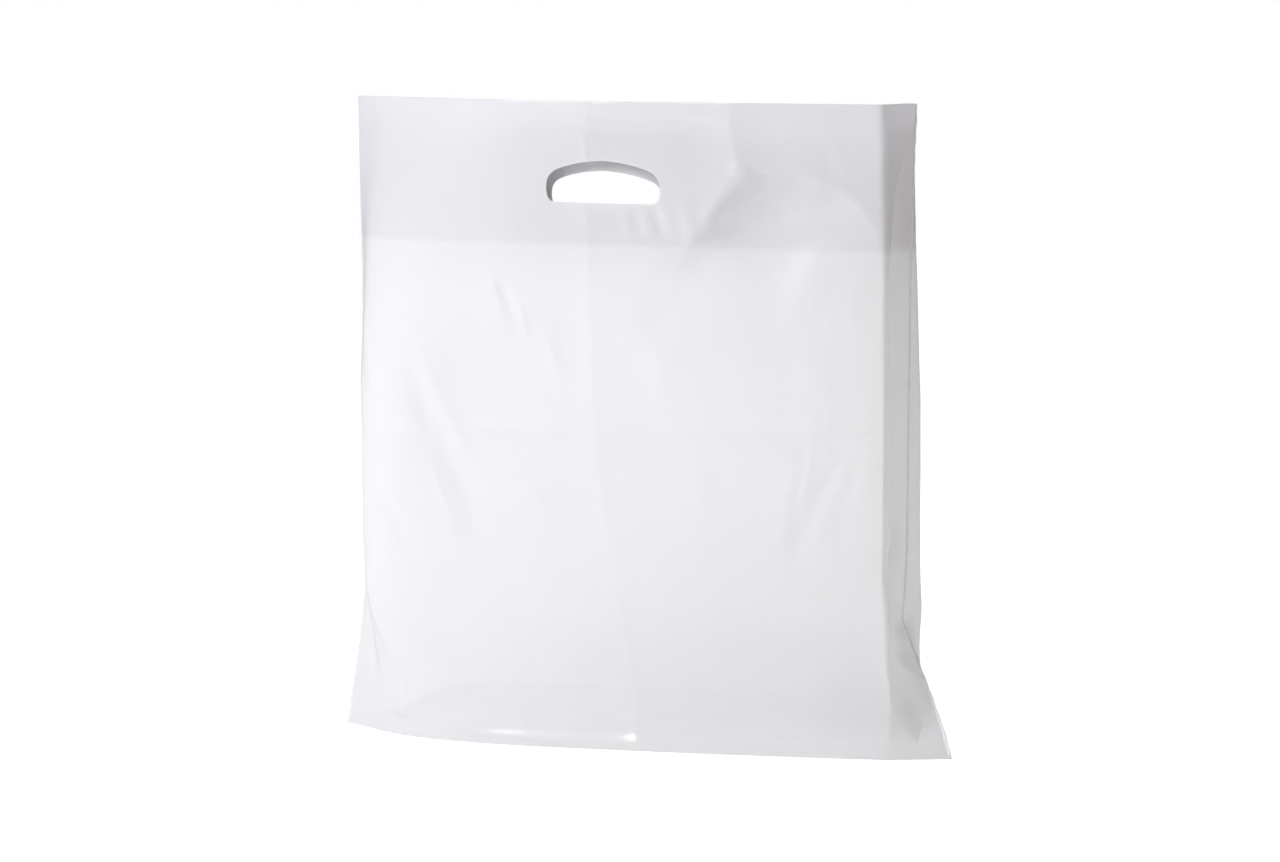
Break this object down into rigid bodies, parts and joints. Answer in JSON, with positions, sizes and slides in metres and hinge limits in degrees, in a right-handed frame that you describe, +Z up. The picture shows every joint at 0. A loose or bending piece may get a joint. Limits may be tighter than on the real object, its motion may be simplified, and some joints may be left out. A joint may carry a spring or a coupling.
{
  "type": "plastic carrier bag",
  "caption": "White film carrier bag with a turned-over mouth, patched kidney hand hole, welded sides and a bottom gusset, standing open to hold shopping.",
  "frame": {"origin": "the middle of the base on the surface that the bag stands on", "axes": "+Z up from the base to the mouth, +X to the right seen from the front, -Y towards the front"},
  "size_m": [0.482, 0.1027, 0.4935],
  "materials": {
    "bag_film": "glossy white blown polyethylene film, slightly see-through",
    "patch_film": "the same white film, bonded in a second layer"
  },
  "bodies": {
    "root": {"bag_body": "bag_film", "front_handle_patch": "patch_film", "back_handle_patch": "patch_film"}
  },
  "joints": []
}
